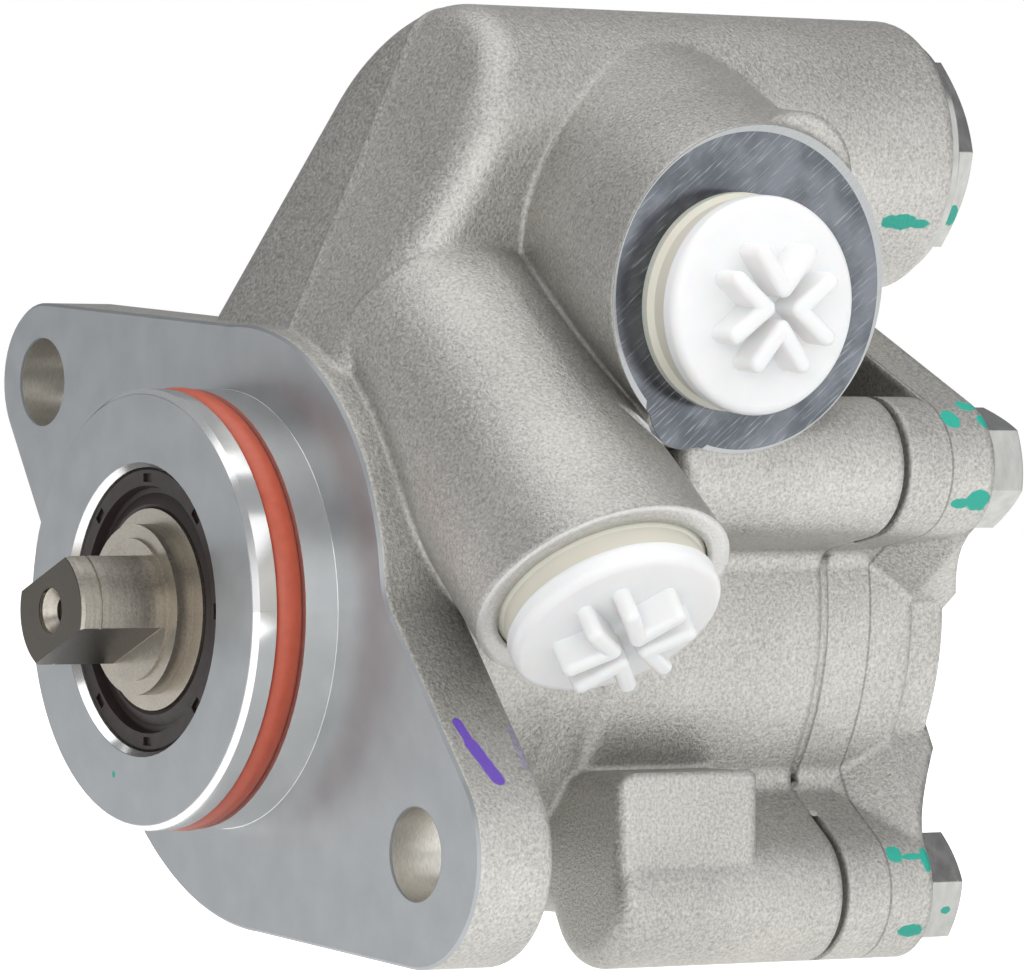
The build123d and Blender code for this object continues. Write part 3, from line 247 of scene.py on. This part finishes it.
class Finish(Nodes):
    """One material: its shader takes plain numbers, and wires where something changes over the surface."""

    def __init__(self, name, **constants):
        self.material = bpy.data.materials.new(name)
        self.material.use_nodes = True
        super().__init__(self.material.node_tree)
        self.shader = self.tree.nodes["Principled BSDF"]
        for key, value in constants.items():
            self.shader.inputs[key.replace("_", " ")].default_value = value
        # Where a point of the surface is at rest, in metres of the pump's frame
        self.place = self.node("ShaderNodeTexCoord", {}, {}, "Object")

    def drive(self, name, wire):
        """Feeds one socket of the shader."""
        self.tree.links.new(wire.socket, self.shader.inputs[name])

    def vector(self, operation, first, second=(0, 0, 0), output=0):
        """Vector maths; its lengths and products come out as "Value"."""
        return self.node("ShaderNodeVectorMath", {"operation": operation}, {0: first, 1: second}, output)

    def mix(self, mask, first, second):
        """The first colour where the mask is 0, and the second where it is 1."""
        # Sockets 6 and 7 are the node's two colours
        values = {"Factor": mask, 6: first, 7: second}
        for key in (6, 7):
            if isinstance(values[key], tuple):
                values[key] = (*values[key], 1.0)
        return self.node("ShaderNodeMix", {"data_type": "RGBA"}, values, 2)

    def noise(self, size, detail=2.0, stretch=(1, 1, 1), roughness=0.5):
        """Noise with a grain of that size in millimetres."""
        place = self.vector("MULTIPLY", self.place, stretch)
        values = {"Vector": place, "Scale": 1 / (size * MM), "Detail": detail, "Roughness": roughness}
        return self.node("ShaderNodeTexNoise", {}, values, "Fac")

    def band(self, value, low, high):
        """Runs from 0 to 1 as a value goes from low to high."""
        values = {"Value": value, "From Min": low, "From Max": high}
        return self.node("ShaderNodeMapRange", {"interpolation_type": "SMOOTHSTEP"}, values, "Result")

    def away(self, point):
        """Distance from a point, in metres."""
        return self.vector("DISTANCE", self.place, tuple(c * MM for c in point), "Value")

    def height(self, face, normal):
        """Distance in front of a plane, in metres."""
        offset = self.vector("SUBTRACT", self.place, tuple(c * MM for c in face))
        return self.vector("DOT_PRODUCT", offset, normal, "Value")

    def side(self):
        """Distance towards +X, in metres."""
        return self.height((0, 0, 0), (1, 0, 0))

    def depth(self):
        """Distance along the shaft, in metres."""
        return self.height((0, 0, 0), (0, 1, 0))

    def up(self):
        """Height over the shaft, in metres."""
        return self.height((0, 0, 0), (0, 0, 1))

    def facing(self, direction):
        """1 where the surface looks that way, and -1 where it looks the other way."""
        normal = self.node("ShaderNodeTexCoord", {}, {}, "Normal")
        return self.vector("DOT_PRODUCT", normal, direction, "Value")

    def on_face(self, face, normal, radius):
        """1 on a flat machined face, up to that radius in millimetres."""
        level = abs(self.height(face, normal)) < FACE_TOLERANCE * MM
        return level * (self.away(face) < radius * MM)

    def from_line(self, x, z):
        """Distance from a line that runs along the shaft, in metres."""
        flat = self.vector("MULTIPLY", self.place, (1, 0, 1))
        offset = self.vector("SUBTRACT", flat, (x * MM, 0, z * MM))
        return self.vector("LENGTH", offset, output="Value")

    def brushed(self, along, across, width, length):
        """Streaks that run one way, of that width and length in millimetres."""
        run = self.vector("DOT_PRODUCT", self.place, along, "Value") / (length * MM)
        step = self.vector("DOT_PRODUCT", self.place, across, "Value") / (width * MM)
        place = self.node("ShaderNodeCombineXYZ", {}, {0: run, 1: step})
        return self.node("ShaderNodeTexNoise", {}, {"Vector": place, "Scale": 1.0, "Detail": 3.0}, "Fac")

    def dab(self, centre, half):
        """Distance from the middle of a blob of paint, as a share of its half sizes."""
        offset = self.vector("SUBTRACT", self.place, tuple(c * MM for c in centre))
        scaled = self.vector("DIVIDE", offset, tuple(c * MM for c in half))
        return self.vector("LENGTH", scaled, output="Value")

    def stroke(self, start, end, radius):
        """Distance from a pen's line, as a share of its half width."""
        first = Vector(start) * MM
        along = Vector(end) * MM - first
        offset = self.vector("SUBTRACT", self.place, tuple(first))
        share = (self.vector("DOT_PRODUCT", offset, tuple(along), "Value") / along.length_squared).clamped()
        foot = self.node("ShaderNodeVectorMath", {"operation": "SCALE"}, {0: tuple(along), "Scale": share})
        return self.vector("DISTANCE", offset, foot, "Value") / (radius * MM)

    def painted(self, colour):
        """The base colour with the paint marks over it, and the mask of the paint."""
        ragged = (self.noise(1.3, 3.0) - 0.5) * 0.7
        covered = None
        for centre, half in GREEN_DABS:
            inside = 1 - self.band(self.dab(centre, half) + ragged, *DAB_EDGE)
            covered = inside if covered is None else covered.largest(inside)
        colour = self.mix(covered, colour, GREEN)
        for start, end, radius, strength in PURPLE_STROKES:
            inside = 1 - self.band(self.stroke(start, end, radius) + ragged * 0.4, *STROKE_EDGE)
            inside = inside * strength
            colour = self.mix(inside, colour, PURPLE)
            covered = covered.largest(inside)
        return colour, covered

    def bump(self, height, strength, distance, soft_edge=0):
        """Raised by that many millimetres at most; edges and creases are softened to a radius in metres."""
        values = {"Strength": strength, "Distance": distance * MM, "Height": height}
        if soft_edge:
            values["Normal"] = self.node("ShaderNodeBevel", {"samples": 6}, {"Radius": soft_edge})
        self.drive("Normal", self.node("ShaderNodeBump", {}, values))


def blasted_skin(cast):
    """The speckle of a shot-blasted casting, and how light it is with its wide clouds."""
    grain = cast.noise(0.5, 2.0, roughness=0.75)
    clouds = cast.noise(19.0, 4.0)
    light = (grain - 0.5) * 1.7 + (clouds - 0.5) * 0.45 + 0.55
    return grain, light


def blasted_roughness(grain):
    """How dull the blasted skin is."""
    return (grain - 0.5) * 0.3 + 0.48


def finished_casting(cast, colour, rough, height, soft_edge):
    """What both castings end with: the paint marks, the grain's relief and soft edges."""
    colour, covered = cast.painted(colour)
    cast.drive("Base Color", colour)
    cast.drive("Roughness", rough)
    cast.drive("Metallic", (1 - covered) * CAST_METALLIC)
    cast.bump(height, 0.8, 0.16, soft_edge)
    return cast.material


def cast_cover(name):
    """The rear cover as blasted, with a thin dark line of painted shade where the parting crease runs round
    its front.
    """
    cast = Finish(name)
    grain, light = blasted_skin(cast)
    # Painted shade: a thin dark line where the parting crease runs round the cover
    line = 1 - cast.band(abs(cast.depth() - COVER_LINE_Y * MM), COVER_CREASE_SHADE_HALF * MM, COVER_CREASE_SHADE_FADE * MM)
    colour = cast.mix((light - line * 0.5).clamped(), *CAST)
    return finished_casting(cast, colour, blasted_roughness(grain), grain, SOFT_EDGE * MM)


def milled_scratches_and_painted_reflection(cast, scratch):
    """The suction port's face: dark blotches of painted reflection, real scratches, and, but for its tab, a
    painted highlight along its outer edge.
    """
    # Painted reflection: blotches of dark and less dark, as the mirror would show the room
    painted_reflection_patches = cast.noise(7.0, 3.0)
    colour = cast.mix(cast.band(painted_reflection_patches, 0.35, 0.7), *MILLED_PAINTED_REFLECTION)
    colour = cast.mix(scratch * 0.45, colour, MILLED_SCRATCH)
    # Painted highlight: a lighter colour past this radius along the face's outer edge, except at the tab
    painted_rim_highlight = cast.away(SUCTION_FACE) > SUCTION_RIM_HIGHLIGHT_R * MM
    tab = cast.away(MILLED_TAB) < MILLED_TAB_R * MM
    return cast.mix(painted_rim_highlight * (1 - tab), colour, MILLED_RIM_HIGHLIGHT)


def flange_holes(cast):
    """1 on the walls of the flange's two holes."""
    walls = [cast.from_line(x, z) < (FLANGE_HOLE_R + HOLE_WALL) * MM for x, z in FLANGE_HOLES]
    return walls[0].largest(walls[1]) * (cast.depth() < FLANGE_HOLE_END_Y * MM)


def cast_body(name):
    """The body's casting: blasted skin with painted shade on the tower beyond its parting line, and bare
    metal where flange, pilot, holes and ports are machined, with a painted reflection on the suction face.
    """
    cast = Finish(name)
    grain, light = blasted_skin(cast)
    tower = (cast.depth() < TOWER_BACK_Y * MM) * (cast.up() > TOWER_FOOT_Z * MM)
    # Painted shade: the tower left of the parting line is made darker, standing for the shade on the side
    # that faces away from the lamps
    painted_shade_beyond_seam = tower * (cast.side() < PARTING_X * MM)
    colour = cast.mix((light - painted_shade_beyond_seam * 0.14).clamped(), *CAST)

    front = cast.depth() < FLANGE_FACE_DEPTH * MM
    past_pilot = cast.from_line(0, 0) > (PILOT_R + PILOT_CLEARANCE) * MM
    flange_face = past_pilot * (cast.depth() > -FLANGE_FACE_DEPTH * MM) * front
    flat = flange_face.largest(cast.depth() < PILOT_FACE_Y * MM)
    round_faces = front - flat
    holes = flange_holes(cast)
    ring = cast.on_face(SUCTION_FACE, SUCTION_NORMAL, SUCTION_REACH)
    seat = cast.on_face(PRESSURE_FACE, PRESSURE_NORMAL, PRESSURE_SEAT_R)
    worked = front.largest(holes).largest(ring)

    smear = cast.noise(6.0, 4.0)
    turned = cast.mix(smear, *TURNED)
    scratch = cast.band(cast.brushed(SCRATCH_ALONG, SCRATCH_ACROSS, 0.35, 5.0), 0.5, 0.8)
    colour = cast.mix(round_faces, colour, turned)
    colour = cast.mix(holes, colour, cast.mix(cast.noise(0.8, 3.0, (1, 4, 1)), *DRILLED))
    colour = cast.mix(flat, colour, cast.mix(smear, *SATIN))
    colour = cast.mix(seat * 0.5, colour, turned)
    colour = cast.mix(ring, colour, milled_scratches_and_painted_reflection(cast, scratch))

    rough = blasted_roughness(grain) * (1 - worked) + flat * (smear * 0.1 + 0.38) + round_faces * 0.15
    rough = rough + holes * 0.34 + ring * (scratch * 0.2 + 0.16)
    relief = grain * (1 - worked) + scratch * (ring * 0.04)
    return finished_casting(cast, colour, rough, relief, (1 - worked) * (SOFT_EDGE * MM))


def bright_steel(name):
    """Zinc-plated steel of bolts and plug."""
    steel = Finish(name)
    streaks = steel.noise(1.6, 3.0, (1, 1, 0.4))
    colour, covered = steel.painted(steel.mix(streaks, *ZINC))
    steel.drive("Base Color", colour)
    steel.drive("Roughness", streaks * 0.16 + 0.16)
    steel.drive("Metallic", 1 - covered)
    steel.bump(steel.noise(0.5, 2.0), 0.1, 0.03, BOLT_SOFT_EDGE * MM)
    return steel.material


def shaft_steel(name):
    """Dull dark steel with turning marks, darker on the tang's end and flats."""
    steel = Finish(name, Metallic=1.0)
    grain = steel.noise(0.35, 3.0)
    turned = steel.noise(0.5, 2.0, (0.05, 1, 0.05))
    colour = steel.mix((grain * 0.6 + turned * 0.4).clamped(), *SHAFT)
    end = steel.depth() < TANG_END_Y * MM
    flats = (abs(steel.facing(TANG_FLAT)) > 0.95) * (steel.depth() < TANG_ROOT_Y * MM)
    steel.drive("Base Color", steel.mix(end.largest(flats) * 0.9, colour, TANG))
    steel.drive("Roughness", grain * 0.25 + 0.26)
    steel.bump(grain + turned * 0.5, 0.3, 0.06)
    return steel.material


def rubber(name, dark, light, roughness):
    """Moulded rubber or polyamide with a faint bloom."""
    moulded = Finish(name, Specular_IOR_Level=0.5)
    bloom = moulded.noise(1.6, 3.0)
    moulded.drive("Base Color", moulded.mix(bloom, dark, light))
    moulded.drive("Roughness", bloom * 0.25 + roughness)
    moulded.bump(moulded.noise(0.4, 2.0), 0.12, 0.05)
    return moulded.material


def white_plastic(name):
    """Soft translucent polyethylene of the caps: white heads, a warm ivory tint on the skirts as painted
    shade under the heads, and not quite even.
    """
    plastic = Finish(name, Subsurface_Weight=0.25, Subsurface_Scale=0.004, Specular_IOR_Level=0.45)
    cloud = plastic.noise(6.0, 3.0)
    upper = plastic.up() > BETWEEN_PORTS_Z * MM
    # Painted shade: the skirts up to these heights, under the heads, get a darker warm tint
    suction_skirt_shade = upper * (plastic.height(SUCTION_FACE, SUCTION_NORMAL) < SUCTION_SHADE_HEIGHT * MM)
    pressure_skirt_shade = (1 - upper) * (plastic.height(PRESSURE_FACE, PRESSURE_NORMAL) < PRESSURE_SHADE_HEIGHT * MM)
    colour = plastic.mix(suction_skirt_shade + pressure_skirt_shade, plastic.mix(cloud, *CAP_HEAD), CAP_SKIRT_SHADE)
    plastic.drive("Base Color", colour)
    plastic.drive("Roughness", cloud * 0.15 + 0.28)
    plastic.bump(plastic.noise(1.5, 2.0), 0.1, 0.08)
    return plastic.material


def ground_metal(name, dark, light, roughness):
    """Ground or pressed metal of the inner pieces."""
    metal = Finish(name, Metallic=1.0)
    streaks = metal.noise(0.5, 2.0, (1, 0.3, 1))
    metal.drive("Base Color", metal.mix(streaks, dark, light))
    metal.drive("Roughness", streaks * 0.15 + roughness)
    metal.bump(streaks, 0.1, 0.04)
    return metal.material


FINISHES = {
    "cast_aluminium": cast_cover("cast cover"),
    "bright_steel": bright_steel("zinc-plated steel"),
    "shaft_steel": shaft_steel("shaft steel"),
    "bearing_steel": ground_metal("bearing steel", (0.42, 0.42, 0.42), (0.62, 0.62, 0.62), 0.14),
    "sintered_steel": ground_metal("sintered steel", (0.20, 0.20, 0.20), (0.33, 0.33, 0.33), 0.32),
    "spring_steel": ground_metal("spring steel", (0.10, 0.10, 0.11), (0.22, 0.22, 0.23), 0.30),
    "bronze": ground_metal("sintered bronze", (0.42, 0.27, 0.12), (0.62, 0.42, 0.20), 0.34),
    "orange_rubber": rubber("orange ring", (0.40, 0.062, 0.030), (0.54, 0.105, 0.052), 0.30),
    "brown_rubber": rubber("brown seal", (0.006, 0.003, 0.0025), (0.024, 0.012, 0.010), 0.42),
    "black_rubber": rubber("black rubber", (0.010, 0.010, 0.010), (0.022, 0.022, 0.022), 0.4),
    "white_plastic": white_plastic("white polyethylene"),
    "cage_plastic": rubber("cage polyamide", (0.30, 0.26, 0.17), (0.40, 0.35, 0.24), 0.4),
}

for part in frame["record"]["subparts"]:
    slots = NODES[part["node"]].data.materials
    slots.clear()
    slots.append(FINISHES[part["material_slot"]])
NODES["pump_body"].data.materials[0] = cast_body("cast body")


def squeezed_ring(segments=320, section=40):
    """The pilot's sealing ring, pressed to an oval that fills its groove."""
    points = []
    for i in range(segments):
        turn = math.tau * i / segments
        for j in range(section):
            swing = math.tau * j / section
            reach = (RING_MIDDLE_R + RING_HALF_RISE * math.cos(swing)) * MM
            depth = (RING_MIDDLE_Y + RING_HALF_WIDTH * math.sin(swing)) * MM
            points.append((reach * math.cos(turn), depth, reach * math.sin(turn)))
    faces = []
    for i in range(segments):
        here, following = i * section, (i + 1) % segments * section
        for j in range(section):
            k = (j + 1) % section
            faces.append((here + j, here + k, following + k, following + j))
    mesh = bpy.data.meshes.new("squeezed_ring")
    mesh.from_pydata(points, [], faces)
    mesh.shade_smooth()
    mesh.materials.append(FINISHES["orange_rubber"])
    ring = bpy.data.objects.new("squeezed_ring", mesh)
    bpy.context.scene.collection.objects.link(ring)
    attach(ring, "housing")
    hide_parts("pilot_ring")


squeezed_ring()


def softbox(name, place, width, height, power):
    """A large rectangular studio lamp that points at the pump."""
    lamp = bpy.data.lights.new(name, "AREA")
    lamp.shape = "RECTANGLE"
    lamp.size = width
    lamp.size_y = height
    lamp.energy = power
    item = bpy.data.objects.new(name, lamp)
    item.location = place
    item.rotation_euler = (Vector(place) - Vector(PUMP_MIDDLE)).to_track_quat("Z", "Y").to_euler()
    bpy.context.scene.collection.objects.link(item)


def photograph_camera():
    """The camera at the photograph's place and angle."""
    lens = bpy.data.cameras.new("camera")
    lens.sensor_width = CAMERA_SENSOR
    lens.lens = CAMERA_LENS
    lens.clip_start = CAMERA_NEAR
    lens.clip_end = CAMERA_FAR
    camera = bpy.data.objects.new("camera", lens)
    camera.location = CAMERA_PLACE
    camera.rotation_euler = (math.radians(90), 0, math.radians(CAMERA_AZIMUTH))
    bpy.context.scene.collection.objects.link(camera)
    bpy.context.scene.camera = camera


def white_floor():
    """Wide pale floor under the pump that looks white and keeps the shadow."""
    low = box_of_model[0][2]
    corners = [(x * FLOOR_REACH, y * FLOOR_REACH, low) for x, y in ((-1, -1), (1, -1), (1, 1), (-1, 1))]
    mesh = bpy.data.meshes.new("floor")
    mesh.from_pydata(corners, [], [(0, 1, 2, 3)])
    floor = bpy.data.objects.new("floor", mesh)
    bpy.context.scene.collection.objects.link(floor)
    paper = Finish("white paper", Base_Color=PAPER, Roughness=0.9, Specular_IOR_Level=0.1,
                   Emission_Strength=1.0)
    seen = paper.ray("Camera").largest(paper.ray("Glossy")).largest(paper.ray("Transmission"))
    paper.drive("Emission Color", seen)
    mesh.materials.append(paper.material)


def studio_world():
    """White to the eye, and a soft grey room as light."""
    world = bpy.data.worlds.new("studio")
    world.use_nodes = True
    bpy.context.scene.world = world
    sky = Nodes(world.node_tree)
    room = sky.tree.nodes["Background"]
    room.inputs["Color"].default_value = ROOM
    room.inputs["Strength"].default_value = ROOM_STRENGTH
    white = sky.node("ShaderNodeBackground", {}, {"Color": WHITE, "Strength": 1.0})
    lit = Wire(sky, room.outputs[0])
    both = sky.node("ShaderNodeMixShader", {}, {0: sky.ray("Camera"), 1: lit, 2: white})
    sky.tree.links.new(both.socket, sky.tree.nodes["World Output"].inputs["Surface"])


for name, settings in SOFTBOXES.items():
    softbox(name, *settings)
photograph_camera()
white_floor()
studio_world()
bpy.context.scene.view_settings.view_transform = "Standard"
